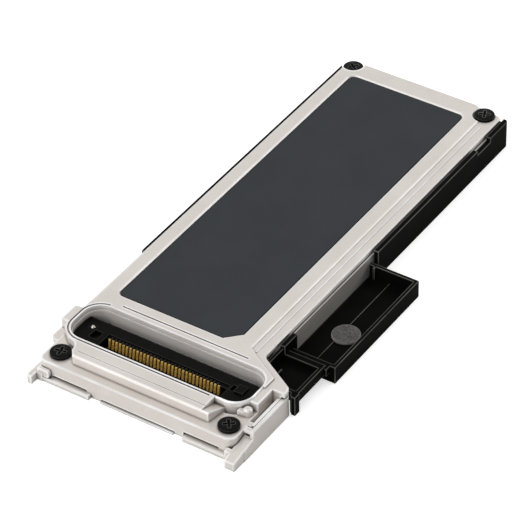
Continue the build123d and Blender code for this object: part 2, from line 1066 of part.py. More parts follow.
def case_shell():
    """Walls and floor of the black case round the drive."""
    corners = (
        (case_left, base_split),
        (case_right, base_split),
        (case_right, case_back),
        (case_left, case_back),
    )
    outline = make_face(Polyline(*corners, close=True))
    outline = soften(outline, (case_right, case_back), case_corner)
    outline = soften(outline, (case_left, case_back), case_corner)
    shell = extrude(outline, case_top)
    inner_back = case_back - case_end
    shell -= brick(
        (cover_left, case_inner), (base_split - 1, inner_back), (case_floor, body_height)
    )
    beyond = body_height + 1
    shell -= brick(
        (cover_left - case_gap, case_inner),
        (inner_back - 1, case_back + 1),
        (cover_under, beyond),
    )
    shell -= brick(
        (case_inner - 1, case_right + 1),
        (base_split - 1, case_wall_start),
        (case_floor, beyond),
    )
    shell -= brick(
        (case_left - 1, cover_left + 1),
        (base_split - 1, case_left_start),
        (case_left_low, beyond),
    )
    notch = (notch_start, notch_start + notch_length)
    shell -= brick((case_inner - 1, case_right + 1), notch, (case_top - notch_drop, beyond))
    shell += brick(
        (cover_left + case_tongue_inset, case_inner - wall_gap),
        (base_split - base_lap + wall_gap, base_split + 1),
        (0, base_floor / 2),
    )
    shell -= rod(back_left_screw, sunk_radius + case_gap, ear_under, body_height)
    ear = rod(back_left_screw, sunk_radius + ear_wall + case_gap, ear_under, body_height)
    shell -= ear & brick((cover_left, case_inner), (0, 2 * cover_back), (0, body_height))
    shell += rod(back_left_screw, ear_radius, 0, ear_under)
    shell += rod(back_right_screw, boss_radius, case_floor / 2, cover_under)
    for centre in (back_left_screw, back_right_screw):
        shell -= rod(centre, shank_radius + shank_clearance, screw_bottom - tip_gap, body_height)
    return shell


def open_box(x, y, z, wall, floor):
    """Box open at the top, with one wall thickness all round."""
    room = brick((x[0] + wall, x[1] - wall), (y[0] + wall, y[1] - wall), (z[0] + floor, z[1] + 1))
    return brick(x, y, z) - room


def case_tray():
    """Open tray on the right of the case."""
    tray = brick((case_inner, tray_right), (tray_start, tray_back), (0, tray_height))
    tray -= brick(
        (case_inner - 1, tray_right - tray_wall),
        (tray_start + tray_wall, tray_back - tray_wall),
        (case_floor, body_height),
    )
    tray += brick(
        (case_inner, case_inner + tray_step_width),
        (tray_start + tray_wall - overlap, tray_back - tray_wall + overlap),
        (case_floor - overlap, case_floor + tray_step),
    )
    rib_x = case_right + tray_rib_offset
    tray += brick(
        (rib_x - tray_rib_width / 2, rib_x + tray_rib_width / 2),
        (tray_back - tray_wall - tray_rib_depth, tray_back - tray_wall + overlap),
        (case_floor, tray_height),
    )
    return tray


def case_pocket():
    """Shallow pocket in front of the tray, with its leg, the strip beside the cover and the post."""
    front = pocket_end - pocket_length
    pocket = open_box(
        (case_inner, pocket_right),
        (front, pocket_end + tray_wall),
        (pocket_under, pocket_height),
        tray_wall,
        pocket_floor,
    )
    pocket += brick(
        (case_inner, pocket_right),
        (pocket_end, pocket_end + pocket_bar),
        (pocket_under, pocket_height),
    )
    pocket += brick(
        (case_inner, pocket_right + pocket_step_reach),
        (pocket_end + pocket_bar - pocket_step_lap, tray_start + overlap),
        (pocket_under, tray_height),
    )
    pocket += brick((case_inner, case_right), (pocket_end, pocket_end + post_length), (0, case_top))
    pocket += brick(
        (case_inner, case_inner + tray_wall),
        (neck_start - strip_front, pocket_end),
        (0, case_top - strip_drop),
    )
    rib_left = case_inner + pocket_rib_place
    rib_front = front + pocket_rib_front
    pocket += brick(
        (rib_left, rib_left + pocket_rib_width),
        (rib_front, rib_front + pocket_rib_length),
        (pocket_under, pocket_height - pocket_rib_drop),
    )
    leg_right = pocket_right + leg_reach
    leg_back = front + leg_back_reach
    pocket += brick(
        (leg_right - leg_width, leg_right),
        (leg_back - leg_width - leg_extra, leg_back),
        (0, pocket_height),
    )
    return pocket


def bottom_case():
    """Black moulded case with its tray and pocket."""
    case = case_shell() + case_tray() + case_pocket() - neck_room()
    for centre in adapter_screws:
        case += rod(centre, adapter_boss_radius, case_floor / 2, adapter_under)
        case -= rod(centre, small_shank_radius + shank_clearance, screw_bottom - tip_gap, body_height)
    return case


def drive_pan():
    """Folded sheet pan: floor and three sides, the right one showing beside the cover."""
    left = cover_left + pan_end_gap
    back = case_back - case_end - pan_end_gap
    side_back = back_left_screw[1] - pan_side_end
    floor = brick((left, pan_outer), (pan_start, back), (case_floor, pan_floor_top))
    left_side = brick((left, left + pan_sheet), (pan_start, side_back), (case_floor, cover_under))
    back_side = brick(
        (back_left_screw[0] + pan_back_inset, back_right_screw[0] - pan_back_inset),
        (back - pan_sheet, back),
        (case_floor, cover_under),
    )
    right_side = along_x(
        (
            (pan_side_start + pan_side_slant, case_floor),
            (side_back, case_floor),
            (side_back, cover_under - pan_top_gap),
            (pan_side_start, cover_under - pan_top_gap),
        ),
        (pan_inner, pan_outer),
    )
    pan = floor + left_side + back_side + right_side
    pan -= rod(back_left_screw, sunk_radius + ear_wall + case_gap, 0, body_height)
    pan -= rod(back_right_screw, boss_radius + pan_boss_gap, 0, body_height)
    return pan


def insulating_film():
    """Thin film on the floor of the pan, under the drive."""
    return brick(
        (drive_left - film_margin, drive_right + film_margin),
        (pan_start + film_front_gap, drive_back - film_back_gap),
        (pan_floor_top, pan_floor_top + film),
    )


def drive_board():
    """Circuit board of the drive, with its keyed edge and the half hole for the screw."""
    board = brick((drive_left, drive_right), (drive_front, drive_back), (drive_under, drive_top))
    hold = ((drive_left + drive_right) / 2, drive_back)
    board -= rod(hold, hold_radius, drive_under - 1, drive_top + 1)
    key = (drive_right - edge_key, drive_right - edge_key + edge_key_width)
    edge = (drive_front - 1, drive_front + edge_key_depth)
    board -= brick(key, edge, (drive_under - 1, drive_top + 1))
    return board


def chip(centre, size, height=chip_height):
    """Flat package on the upper face of the drive's board."""
    x = ((centre[0] - size[0] / 2), (centre[0] + size[0] / 2))
    y = ((centre[1] - size[1] / 2), (centre[1] + size[1] / 2))
    body = brick(x, y, (drive_top, drive_top + height))
    return chamfer(body.edges().group_by(Axis.Z)[-1], chip_chamfer)


def drive_capacitors():
    """Two rows of small parts beside the power chip."""
    parts = Part()
    middle = (drive_left + drive_right) / 2
    for row in range(part_rows):
        for number in range(part_columns):
            x = middle - part_start + number * part_pitch
            y = drive_front + part_front + row * part_row_pitch
            parts += brick((x, x + part_width), (y, y + part_depth), (drive_top, drive_top + part_height))
    return parts


def thermal_pad():
    """Soft pad that carries heat from the chips to the cover."""
    return brick(
        (drive_left + thermal_margin, drive_right - thermal_margin),
        (drive_front + thermal_front, drive_back - thermal_back),
        (chip_top, cover_under),
    )


def drive_standoff():
    """Round standoff under the end of the drive."""
    centre = ((drive_left + drive_right) / 2, drive_back)
    post = rod(centre, standoff_radius, pan_floor_top, drive_under)
    hole = small_shank_radius + shank_clearance
    return post - rod(centre, hole, pan_floor_top + standoff_floor, drive_under + 1)


def drive_screw():
    """Screw that holds the end of the drive down on its standoff."""
    centre = ((drive_left + drive_right) / 2, drive_back)
    return small_screw(centre, drive_top, pan_floor_top + standoff_floor + shank_clearance)


def adapter_board():
    """Board under the connector, with a tongue that carries the drive's socket."""
    left = well_left + adapter_clearance
    right = well_right - adapter_clearance
    side = cover_right - adapter_right_inset
    tongue = (drive_left - tongue_margin, drive_right + tongue_margin)
    step = left - adapter_left_step
    board = slab(
        (
            (left, adapter_front),
            (right, adapter_front),
            (right, neck_line(right, adapter_neck_inset)),
            (side, neck_line(side, adapter_neck_inset)),
            (side, adapter_shoulder),
            (tongue[1], adapter_shoulder),
            (tongue[1], pan_start - tongue_gap),
            (tongue[0], pan_start - tongue_gap),
            (tongue[0], adapter_shoulder),
            (step, adapter_shoulder),
            (step, housing_back),
            (left, housing_back),
        ),
        adapter_under,
        adapter_top,
    )
    for centre in (front_left_screw, front_right_screw):
        board -= rod(centre, boss_radius + adapter_boss_gap, 0, body_height)
    for centre in adapter_screws:
        board -= rod(centre, small_shank_radius + shank_clearance, 0, body_height)
    return board


def drive_socket():
    """Edge socket that grips the front of the drive."""
    mouth = drive_front + socket_grip
    body = brick(
        (drive_left - socket_margin, drive_right + socket_margin),
        (mouth - socket_depth, mouth),
        (adapter_top, drive_top + socket_height),
    )
    body = chamfer(body.edges().group_by(Axis.Z)[-1].sort_by(Axis.Y)[-1], socket_chamfer)
    slot = brick(
        (drive_left - socket_slack, drive_right + socket_slack),
        (drive_front, mouth + 1),
        (drive_under, drive_top + socket_slack),
    )
    return body - slot


def contact_places():
    """X of each contact in the row, centred on the well."""
    row_middle = (well_left + well_right) / 2 + row_offset
    first = row_middle - contact_pitch * (contact_count - 1) / 2
    return [first + contact_pitch * number for number in range(contact_count)]


slot_back = housing_back - connector_back_wall
slot_front = slot_back - connector_slot
slot_floor = adapter_top + connector_slot_floor
slot_left = contact_places()[0] - contact_pitch
slot_right = contact_places()[-1] + slot_margin
guide_pin_place = (well_left + pin_inset, slot_back + pin_back)


def connector_housing():
    """Black housing that fills the bottom of the well, with the long contact slot."""
    plan = window_face(-connector_gap) - brick_face(
        (well_left - 1, well_right + 1), (housing_back - connector_gap, head_back)
    )
    body = Pos(0, 0, adapter_top) * extrude(plan, shelf_top - adapter_top)
    body -= brick((slot_left, slot_right), (slot_front, slot_back), (slot_floor, shelf_top + 1))
    body -= brick(
        (slot_left, slot_right),
        (slot_back - 1, slot_back + comb_depth),
        (shelf_top - comb_height, shelf_top + 1),
    )
    for place in contact_places()[:-1]:
        middle = place + contact_pitch / 2
        body += brick(
            (middle - comb_tooth / 2, middle + comb_tooth / 2),
            (slot_back, slot_back + comb_reach),
            (shelf_top - comb_height - overlap, shelf_top),
        )
    # keying steps at both ends of the row
    body -= brick(
        (slot_left - left_key_far, slot_left - left_key_near),
        (slot_back - left_key_front, slot_back + left_key_back),
        (shelf_top - key_depth, body_height),
    )
    body += brick(
        (slot_right + right_key_near, slot_right + right_key_far),
        (slot_back - right_key_front, slot_back + right_key_back),
        (shelf_top - overlap, shelf_top + key_depth / 2),
    )
    body -= brick(
        (slot_right + key_pit_near, slot_right + key_pit_far),
        (slot_back - key_pit_front, slot_back + key_pit_back),
        (shelf_top - key_depth, body_height),
    )
    body -= rod(guide_pin_place, pin_hole_radius, slot_floor, body_height)
    return body


def connector_contacts():
    """Row of sprung contacts that lean out from the rear wall of the slot."""
    row = Part()
    low = slot_floor
    high = shelf_top - contact_drop
    back = slot_back
    for place in contact_places():
        profile = (
            (back, low),
            (back - contact_sheet - contact_lean, low),
            (back - contact_sheet, high - contact_tip),
            (back - contact_sheet + contact_tip_slant, high),
            (back, high),
        )
        row += along_x(profile, (place - contact_width / 2, place + contact_width / 2))
    return row


def guide_pin():
    """Small steel pin in the left end of the housing."""
    pin = rod(guide_pin_place, pin_radius, slot_floor, shelf_top + pin_rise)
    return chamfer(pin.edges().group_by(Axis.Z)[-1], pin_radius / 2)


def tray_pad():
    """Round felt pad on the floor of the tray."""
    centre = (case_right + pad_inset + pad_radius, tray_start + pad_from_front)
    return rod(centre, pad_radius, case_floor + tray_step, case_floor + tray_step + pad_thickness)


pieces = {
    "top_cover": top_cover(),
    "heat_panel": heat_panel(),
    "base_plate": base_plate(),
    "bottom_case": bottom_case(),
    "drive_pan": drive_pan(),
    "insulating_film": insulating_film(),
    "drive_board": drive_board(),
    "thermal_pad": thermal_pad(),
    "drive_standoff": drive_standoff(),
    "drive_screw": drive_screw(),
    "adapter_board": adapter_board(),
    "drive_socket": drive_socket(),
    "connector_housing": connector_housing(),
    "connector_contacts": connector_contacts(),
    "guide_pin": guide_pin(),
    "tray_pad": tray_pad(),
    "drive_capacitors": drive_capacitors(),
}
middle = (drive_left + drive_right) / 2
memory = (memory_width, memory_depth)
controller = (controller_side, controller_side)
pieces["controller_chip"] = chip((middle, drive_front + controller_place), controller)
pieces["cache_chip"] = chip((middle, drive_front + cache_place), (cache_width, cache_depth))
pieces["memory_chip_front"] = chip((middle, drive_front + memory_front_place), memory)
pieces["memory_chip_back"] = chip((middle, drive_front + memory_back_place), memory)
pieces["power_chip"] = chip(
    (middle + power_offset, drive_front + power_place), (power_side, power_side), power_height
)
pieces["screw_front_left"] = cover_screw(front_left_screw, ledge_top, screw_bottom)
pieces["screw_front_right"] = cover_screw(front_right_screw, ledge_top, screw_bottom)
pieces["screw_back_left"] = cover_screw(back_left_screw, deep_seat, screw_bottom)
pieces["screw_back_right"] = cover_screw(back_right_screw, sunk_seat, screw_bottom)
pieces["adapter_screw_left"] = small_screw(adapter_screws[0], adapter_top, screw_bottom)
pieces["adapter_screw_right"] = small_screw(adapter_screws[1], adapter_top, screw_bottom)

centre_x = (tab_left - tab_offset + tray_right) / 2
back_reach = max(cover_back, back_left_screw[1] + head_radius)
centre_y = (lip_front + back_reach) / 2
os.makedirs("parts", exist_ok=True)
for name, piece in pieces.items():
    export_step(Pos(-centre_x, -centre_y, 0) * piece, "parts/" + name + ".step")
print("origin moved by", round(centre_x, 3), round(centre_y, 3))
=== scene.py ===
import math

import bmesh
import bpy
from mathutils import Matrix, Vector, noise


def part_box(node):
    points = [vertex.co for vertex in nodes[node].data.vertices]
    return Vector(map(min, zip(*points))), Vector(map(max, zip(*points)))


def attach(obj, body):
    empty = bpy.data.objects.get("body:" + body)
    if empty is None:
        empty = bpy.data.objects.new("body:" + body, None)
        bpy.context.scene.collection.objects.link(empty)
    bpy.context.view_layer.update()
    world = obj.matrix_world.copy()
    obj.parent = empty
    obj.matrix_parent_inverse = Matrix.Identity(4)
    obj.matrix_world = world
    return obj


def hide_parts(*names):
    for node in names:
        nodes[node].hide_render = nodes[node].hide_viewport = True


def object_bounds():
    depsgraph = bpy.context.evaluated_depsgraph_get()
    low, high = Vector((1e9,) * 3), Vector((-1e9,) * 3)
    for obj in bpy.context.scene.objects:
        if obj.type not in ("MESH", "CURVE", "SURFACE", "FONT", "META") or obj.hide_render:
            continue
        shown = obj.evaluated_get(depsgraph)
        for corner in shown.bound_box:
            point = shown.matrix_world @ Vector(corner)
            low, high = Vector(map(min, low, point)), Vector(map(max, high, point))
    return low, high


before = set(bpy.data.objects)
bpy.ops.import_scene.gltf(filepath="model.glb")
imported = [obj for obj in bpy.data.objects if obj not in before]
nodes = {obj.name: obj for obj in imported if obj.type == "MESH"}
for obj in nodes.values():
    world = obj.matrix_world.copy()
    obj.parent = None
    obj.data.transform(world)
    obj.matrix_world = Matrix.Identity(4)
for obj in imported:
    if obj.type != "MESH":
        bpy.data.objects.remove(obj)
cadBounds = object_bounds()
mm = 0.001
print("frame loaded:", len(nodes), "nodes")


def hexColour(code):
    channels = [int(code[i:i + 2], 16) / 255 for i in (0, 2, 4)]
    linear = [c / 12.92 if c <= 0.04045 else ((c + 0.055) / 1.055) ** 2.4 for c in channels]
    return (*linear, 1.0)


def newMaterial(name):
    material = bpy.data.materials.new(name)
    material.use_nodes = True
    return material, material.node_tree.nodes["Principled BSDF"]


def addNode(material, kind, settings=None, inputs=None, outputs=()):
    # settings are the node's own, inputs are values or sockets,
    # and outputs are pairs of own socket and other socket
    node = material.node_tree.nodes.new(kind)
    for key, value in (settings or {}).items():
        setattr(node, key, value)
    for key, value in (inputs or {}).items():
        if isinstance(value, bpy.types.NodeSocket):
            material.node_tree.links.new(value, node.inputs[key])
        else:
            node.inputs[key].default_value = value
    for key, target in outputs:
        material.node_tree.links.new(node.outputs[key], target)
    return node


def rampColours(ramp, stops):
    # a new ramp has the two stops that every finish here needs
    for element, (place, code) in zip(ramp.color_ramp.elements, stops):
        element.position = place
        element.color = hexColour(code)


def placeOf(material):
    return addNode(material, "ShaderNodeTexCoord").outputs["Object"]


# a noise keeps near its middle, so each pattern is stretched from a span around it
cloudSpan = (0.35, 0.65)
lineSpan = (0.3, 0.7)
roughSpan = (0.3, 0.7)
noiseRough = {"grain": 0.6, "cloud": 0.55}


def grainBump(material, shader, s, detail=2.0):
    # fine relief from a noise whose grain is about this size across
    grain = addNode(
        material, "ShaderNodeTexNoise",
        inputs={
            "Vector": placeOf(material), "Scale": 1 / s["grain"], "Detail": detail,
            "Roughness": noiseRough["grain"],
        },
    )
    addNode(
        material, "ShaderNodeBump",
        inputs={"Height": grain.outputs["Fac"], "Strength": s["relief"], "Distance": s["lift"]},
        outputs=(("Normal", shader.inputs["Normal"]),),
    )
    return grain


def mottled(material, shader, s, detail=3.0):
    # base colour that wanders a little between deep and pale
    cloud = addNode(
        material, "ShaderNodeTexNoise",
        inputs={
            "Vector": placeOf(material), "Scale": 1 / s["cloud"], "Detail": detail,
            "Roughness": noiseRough["cloud"],
        },
    )
    ramp = addNode(material, "ShaderNodeValToRGB", inputs={"Fac": cloud.outputs["Fac"]})
    rampColours(ramp, zip(cloudSpan, (s["deep"], s["pale"])))
    material.node_tree.links.new(ramp.outputs["Color"], shader.inputs["Base Color"])
    return cloud


def layOver(material, shader, share, code):
    # a second colour over the base colour, as much of it as the share says
    body = shader.inputs["Base Color"].links[0].from_socket
    mixed = addNode(
        material, "ShaderNodeMix", {"data_type": "RGBA"},
        {"Factor": share.outputs["Result"], 6: body, 7: hexColour(code)},
    )
    material.node_tree.links.new(mixed.outputs[2], shader.inputs["Base Color"])


# what the occlusion reads where the painted edge highlight starts to show, and where the painted
# crease shade starts and is full
lookRays = 12
edgeStart = 0.97
creaseStart, creaseFull = 0.85, 0.35
# the painted edge highlight looks the same for about a patch, and where weakest it keeps the least
# of its share
highlightPatch, highlightSpan, highlightLeast = 7 * mm, (0.38, 0.58), 0.55


def paintedEdgeHighlight(material, shader, s):
    # outer edges, found by looking a short way into the solid, take a lighter colour as a painted
    # highlight, wholly where the solid fills no more than the full share of what is seen
    inside = addNode(
        material, "ShaderNodeAmbientOcclusion",
        {"inside": True, "only_local": True, "samples": lookRays}, {"Distance": s["edgeReach"]},
    )
    # the painted highlight comes and goes along an edge
    patches = addNode(
        material, "ShaderNodeTexNoise",
        inputs={"Vector": placeOf(material), "Scale": 1 / highlightPatch, "Detail": 1.0},
    )
    strength = addNode(
        material, "ShaderNodeMapRange",
        inputs={
            "Value": patches.outputs["Fac"], "From Min": highlightSpan[0], "From Max": highlightSpan[1],
            "To Min": s["edgeShare"] * highlightLeast, "To Max": s["edgeShare"],
        },
    )
    edge = addNode(
        material, "ShaderNodeMapRange",
        inputs={
            "Value": inside.outputs["AO"], "From Min": edgeStart, "From Max": s["edgeFull"],
            "To Min": 0.0, "To Max": strength.outputs["Result"],
        },
    )
    layOver(material, shader, edge, s["edge"])


def paintedCreaseShade(material, shader, s):
    # inner corners and narrow gaps, found by the occlusion around them, take a darker colour as
    # painted shade
    outside = addNode(
        material, "ShaderNodeAmbientOcclusion",
        {"inside": False, "only_local": False, "samples": lookRays},
        {"Distance": s["creaseReach"]},
    )
    crease = addNode(
        material, "ShaderNodeMapRange",
        inputs={
            "Value": outside.outputs["AO"], "From Min": creaseStart, "From Max": creaseFull,
            "To Min": 0.0, "To Max": s["creaseShare"],
        },
    )
    layOver(material, shader, crease, s["crease"])


def varied(material, shader, source, s):
    # roughness that follows a pattern, from smooth to rough
    addNode(
        material, "ShaderNodeMapRange",
        inputs={
            "Value": source.outputs["Fac"], "From Min": roughSpan[0], "From Max": roughSpan[1],
            "To Min": s["smooth"], "To Max": s["rough"],
        },
        outputs=(("Result", shader.inputs["Roughness"]),),
    )


# die cast aluminium, fine blasted and plated: warm silver grey with a soft sheen
castSilver = {
    "pale": "dfd9d3", "deep": "dad3cd", "cloud": 6 * mm, "metallic": 0.22,
    # the white edge colour is a painted highlight on the outer edges
    "edge": "ffffff", "edgeReach": 0.5 * mm, "edgeShare": 0.95, "edgeFull": 0.74,
    # the crease colour is painted shade laid into inner corners and narrow gaps
    "crease": "54463a", "creaseReach": 0.8 * mm, "creaseShare": 0.85,
    "grain": 0.16 * mm, "relief": 0.014, "lift": 0.02 * mm, "smooth": 0.27, "rough": 0.31,
}


def makeCastSilver():
    material, shader = newMaterial("blastedCastAluminium")
    s = castSilver
    shader.inputs["Metallic"].default_value = s["metallic"]
    mottled(material, shader, s)
    paintedEdgeHighlight(material, shader, s)
    paintedCreaseShade(material, shader, s)
    grain = grainBump(material, shader, s)
    varied(material, shader, grain, s)
    return material


# slate grey powder coat on sheet: matt, even, with a very fine grain
slateCoat = {
    "pale": "393c40", "deep": "36393c", "cloud": 9 * mm, "shine": 0.1,
    "grain": 0.2 * mm, "relief": 0.1, "lift": 0.02 * mm, "smooth": 0.5, "rough": 0.62,
}


def makeSlateCoat():
    material, shader = newMaterial("slatePowderCoat")
    s = slateCoat
    shader.inputs["Specular IOR Level"].default_value = s["shine"]
    mottled(material, shader, s)
    grain = grainBump(material, shader, s)
    varied(material, shader, grain, s)
    return material


# moulded ABS, black, with a fine spark texture that dulls its shine
mouldedBlack = {
    "pale": "0f100e", "deep": "0a0b0a", "cloud": 5 * mm, "shine": 0.01,
    # the grey edge colour is a painted highlight on the outer edges
    "edge": "8b8c87", "edgeReach": 0.2 * mm, "edgeShare": 0.8, "edgeFull": 0.62,
    "grain": 0.18 * mm, "relief": 0.12, "lift": 0.03 * mm, "smooth": 0.3, "rough": 0.42,
}


def makeMouldedBlack():
    material, shader = newMaterial("mouldedBlackABS")
    s = mouldedBlack
    shader.inputs["Specular IOR Level"].default_value = s["shine"]
    mottled(material, shader, s)
    paintedEdgeHighlight(material, shader, s)
    grain = grainBump(material, shader, s)
    varied(material, shader, grain, s)
    return material


# liquid crystal polymer of the connector: black, smoother than the case
connectorBlack = {
    "pale": "0e0d0c", "deep": "080807", "cloud": 3 * mm, "shine": 0.04,
    # the grey edge colour is a painted highlight on the outer edges
    "edge": "4c4b49", "edgeReach": 0.15 * mm, "edgeShare": 0.6, "edgeFull": 0.62,
    "grain": 0.25 * mm, "relief": 0.08, "lift": 0.02 * mm, "smooth": 0.3, "rough": 0.4,
}


def makeConnectorBlack():
    material, shader = newMaterial("mouldedBlackPolymer")
    s = connectorBlack
    shader.inputs["Specular IOR Level"].default_value = s["shine"]
    mottled(material, shader, s)
    paintedEdgeHighlight(material, shader, s)
    grain = grainBump(material, shader, s)
    varied(material, shader, grain, s)
    return material


# cold rolled stainless sheet: fine lines along the rolling direction
rolledSheet = {
    "pale": "cdc8c3", "deep": "bdb7b2", "metallic": 0.35,
    "lineAcross": 0.12 * mm, "lineAlong": 6 * mm, "lineDetail": 2.0,
    # the near-white edge colour is a painted highlight on the outer edges
    "edge": "f6f4f1", "edgeReach": 0.14 * mm, "edgeShare": 0.9, "edgeFull": 0.62,
    "smooth": 0.28, "rough": 0.4,
}


def makeRolledSheet():
    material, shader = newMaterial("rolledStainlessSheet")
    s = rolledSheet
    shader.inputs["Metallic"].default_value = s["metallic"]
    across, along = 1 / s["lineAcross"], 1 / s["lineAlong"]
    stretched = addNode(
        material, "ShaderNodeMapping",
        inputs={"Vector": placeOf(material), "Scale": (across, along, across)},
    )
    lines = addNode(
        material, "ShaderNodeTexNoise",
        inputs={"Vector": stretched.outputs["Vector"], "Scale": 1.0, "Detail": s["lineDetail"]},
    )
    ramp = addNode(material, "ShaderNodeValToRGB", inputs={"Fac": lines.outputs["Fac"]})
    rampColours(ramp, zip(lineSpan, (s["deep"], s["pale"])))
    material.node_tree.links.new(ramp.outputs["Color"], shader.inputs["Base Color"])
    paintedEdgeHighlight(material, shader, s)
    varied(material, shader, lines, s)
    return material


# gold flash over nickel on sprung copper alloy: warm and bright, a little uneven
goldFlash = {
    "pale": "fbd377", "deep": "e2b257", "cloud": 0.5 * mm, "metallic": 0.3,
    "smooth": 0.22, "rough": 0.34,
}


def makeGoldFlash():
    material, shader = newMaterial("goldFlashedContact")
    s = goldFlash
    shader.inputs["Metallic"].default_value = s["metallic"]
    cloud = mottled(material, shader, s)
    varied(material, shader, cloud, s)
    return material


# black zinc plate on a turned steel screw: dark, with a satin shine and a painted highlight on its
# edges
blackZinc = {
    "pale": "090909", "deep": "050505", "cloud": 0.8 * mm, "shine": 0.07,
    # the grey edge colour is a painted highlight on the rims and edges
    "edge": "8a8a86", "edgeReach": 0.14 * mm, "edgeShare": 0.8, "edgeFull": 0.68,
    "grain": 0.15 * mm, "relief": 0.1, "lift": 0.01 * mm, "smooth": 0.2, "rough": 0.3,
}


def makeBlackZinc():
    material, shader = newMaterial("blackZincPlate")
    s = blackZinc
    shader.inputs["Specular IOR Level"].default_value = s["shine"]
    cloud = mottled(material, shader, s)
    paintedEdgeHighlight(material, shader, s)
    grainBump(material, shader, s)
    varied(material, shader, cloud, s)
    return material


# nickel plated steel: plain bright metal of the pin and the small screws
nickelPlate = {
    "pale": "cfcbc4", "deep": "b5b1ab", "cloud": 0.6 * mm, "metallic": 1.0,
    "smooth": 0.2, "rough": 0.32,
}


def makeNickelPlate():
    material, shader = newMaterial("nickelPlatedSteel")
    s = nickelPlate
    shader.inputs["Metallic"].default_value = s["metallic"]
    cloud = mottled(material, shader, s)
    varied(material, shader, cloud, s)
    return material


# pressed wool felt: grey, matt, with loose short fibres as its grain
pressedFelt = {
    "pale": "62605c", "deep": "2f2d2b", "cloud": 0.4 * mm, "cloudDetail": 5.0,
    "sheen": 0.35, "sheenRough": 0.5,
    # the lighter edge colour is a painted highlight on the pad's rim
    "edge": "93918d", "edgeReach": 0.3 * mm, "edgeShare": 0.8, "edgeFull": 0.62,
    "grain": 0.2 * mm, "grainDetail": 6.0, "relief": 0.8, "lift": 0.06 * mm,
    "smooth": 0.85, "rough": 0.98,
}


def makePressedFelt():
    material, shader = newMaterial("pressedFelt")
    s = pressedFelt
    shader.inputs["Sheen Weight"].default_value = s["sheen"]
    shader.inputs["Sheen Roughness"].default_value = s["sheenRough"]
    mottled(material, shader, s, detail=s["cloudDetail"])
    paintedEdgeHighlight(material, shader, s)
    grain = grainBump(material, shader, s, detail=s["grainDetail"])
    varied(material, shader, grain, s)
    return material


# solder mask over glass fibre board: dark, half gloss, with the weave just showing as its grain
solderMask = {
    "cloud": 4 * mm, "grain": 0.45 * mm, "relief": 0.06, "lift": 0.02 * mm,
    "smooth": 0.3, "rough": 0.4,
}


def makeSolderMask(name, pale, deep):
    material, shader = newMaterial(name)
    s = dict(solderMask, pale=pale, deep=deep)
    mottled(material, shader, s)
    grain = grainBump(material, shader, s)
    varied(material, shader, grain, s)
    return material


# moulded epoxy of a chip: near black, dull, with fine filler grains
chipEpoxy = {
    "pale": "242426", "deep": "1b1b1d", "cloud": 2 * mm,
    "grain": 0.2 * mm, "relief": 0.15, "lift": 0.02 * mm, "smooth": 0.5, "rough": 0.62,
}


def makeEpoxy():
    material, shader = newMaterial("mouldedEpoxy")
    s = chipEpoxy
    mottled(material, shader, s)
    grain = grainBump(material, shader, s)
    varied(material, shader, grain, s)
    return material


# soft silicone sheet: pale blue grey, matt and a little waxy
siliconeSheet = {
    "pale": "8e9ba6", "deep": "7d8a96", "cloud": 3 * mm, "waxy": 0.1,
    "grain": 0.4 * mm, "relief": 0.1, "lift": 0.03 * mm, "smooth": 0.6, "rough": 0.72,
}


def makeSilicone():
    material, shader = newMaterial("softSilicone")
    s = siliconeSheet
    shader.inputs["Subsurface Weight"].default_value = s["waxy"]
    mottled(material, shader, s)
    grain = grainBump(material, shader, s)
    varied(material, shader, grain, s)
    return material


# turned brass of the standoff
standoffBrass = {
    "pale": "c9a55c", "deep": "b08d4a", "cloud": 0.6 * mm, "metallic": 1.0,
    "smooth": 0.22, "rough": 0.34,
}


def makeBrass():
    material, shader = newMaterial("turnedBrass")
    s = standoffBrass
    shader.inputs["Metallic"].default_value = s["metallic"]
    cloud = mottled(material, shader, s)
    varied(material, shader, cloud, s)
    return material


# ceramic capacitor body
capacitorCeramic = {
    "pale": "957250", "deep": "7a5a3c", "cloud": 0.5 * mm,
    "grain": 0.2 * mm, "relief": 0.1, "lift": 0.01 * mm, "smooth": 0.4, "rough": 0.5,
}


def makeCeramic():
    material, shader = newMaterial("firedCeramic")
    s = capacitorCeramic
    mottled(material, shader, s)
    grain = grainBump(material, shader, s)
    varied(material, shader, grain, s)
    return material


silver = makeCastSilver()
slate = makeSlateCoat()
caseBlack = makeMouldedBlack()
connector = makeConnectorBlack()
sheet = makeRolledSheet()
gold = makeGoldFlash()
zinc = makeBlackZinc()
nickel = makeNickelPlate()
felt = makePressedFelt()
driveMask = makeSolderMask("greenSolderMask", "12402c", "0d3222")
adapterMask = makeSolderMask("blackSolderMask", "15181a", "0f1213")
epoxy = makeEpoxy()
silicone = makeSilicone()
brass = makeBrass()
ceramic = makeCeramic()

finishes = {
    "top_cover": silver, "base_plate": silver, "heat_panel": slate, "bottom_case": caseBlack,
    "drive_pan": sheet, "insulating_film": connector, "drive_board": driveMask,
    "thermal_pad": silicone, "drive_standoff": brass, "drive_screw": nickel,
    "adapter_board": adapterMask, "drive_socket": connector, "connector_housing": connector,
    "connector_contacts": gold, "guide_pin": nickel, "tray_pad": felt,
    "drive_capacitors": ceramic, "controller_chip": epoxy, "cache_chip": epoxy,
    "memory_chip_front": epoxy, "memory_chip_back": epoxy, "power_chip": epoxy,
    "screw_front_left": zinc, "screw_front_right": zinc, "screw_back_left": zinc,
    "screw_back_right": zinc, "adapter_screw_left": nickel, "adapter_screw_right": nickel,
}
for name, material in finishes.items():
    node = nodes[name]
    node.data.materials.clear()
    node.data.materials.append(material)
print("materials set:", len(bpy.data.materials))


# edges broken as casting and moulding leave them, in millimetres
edgeBreaks = {
    "top_cover": 0.09, "base_plate": 0.1, "bottom_case": 0.1, "drive_pan": 0.04,
    "connector_housing": 0.05, "heat_panel": 0.06,
}
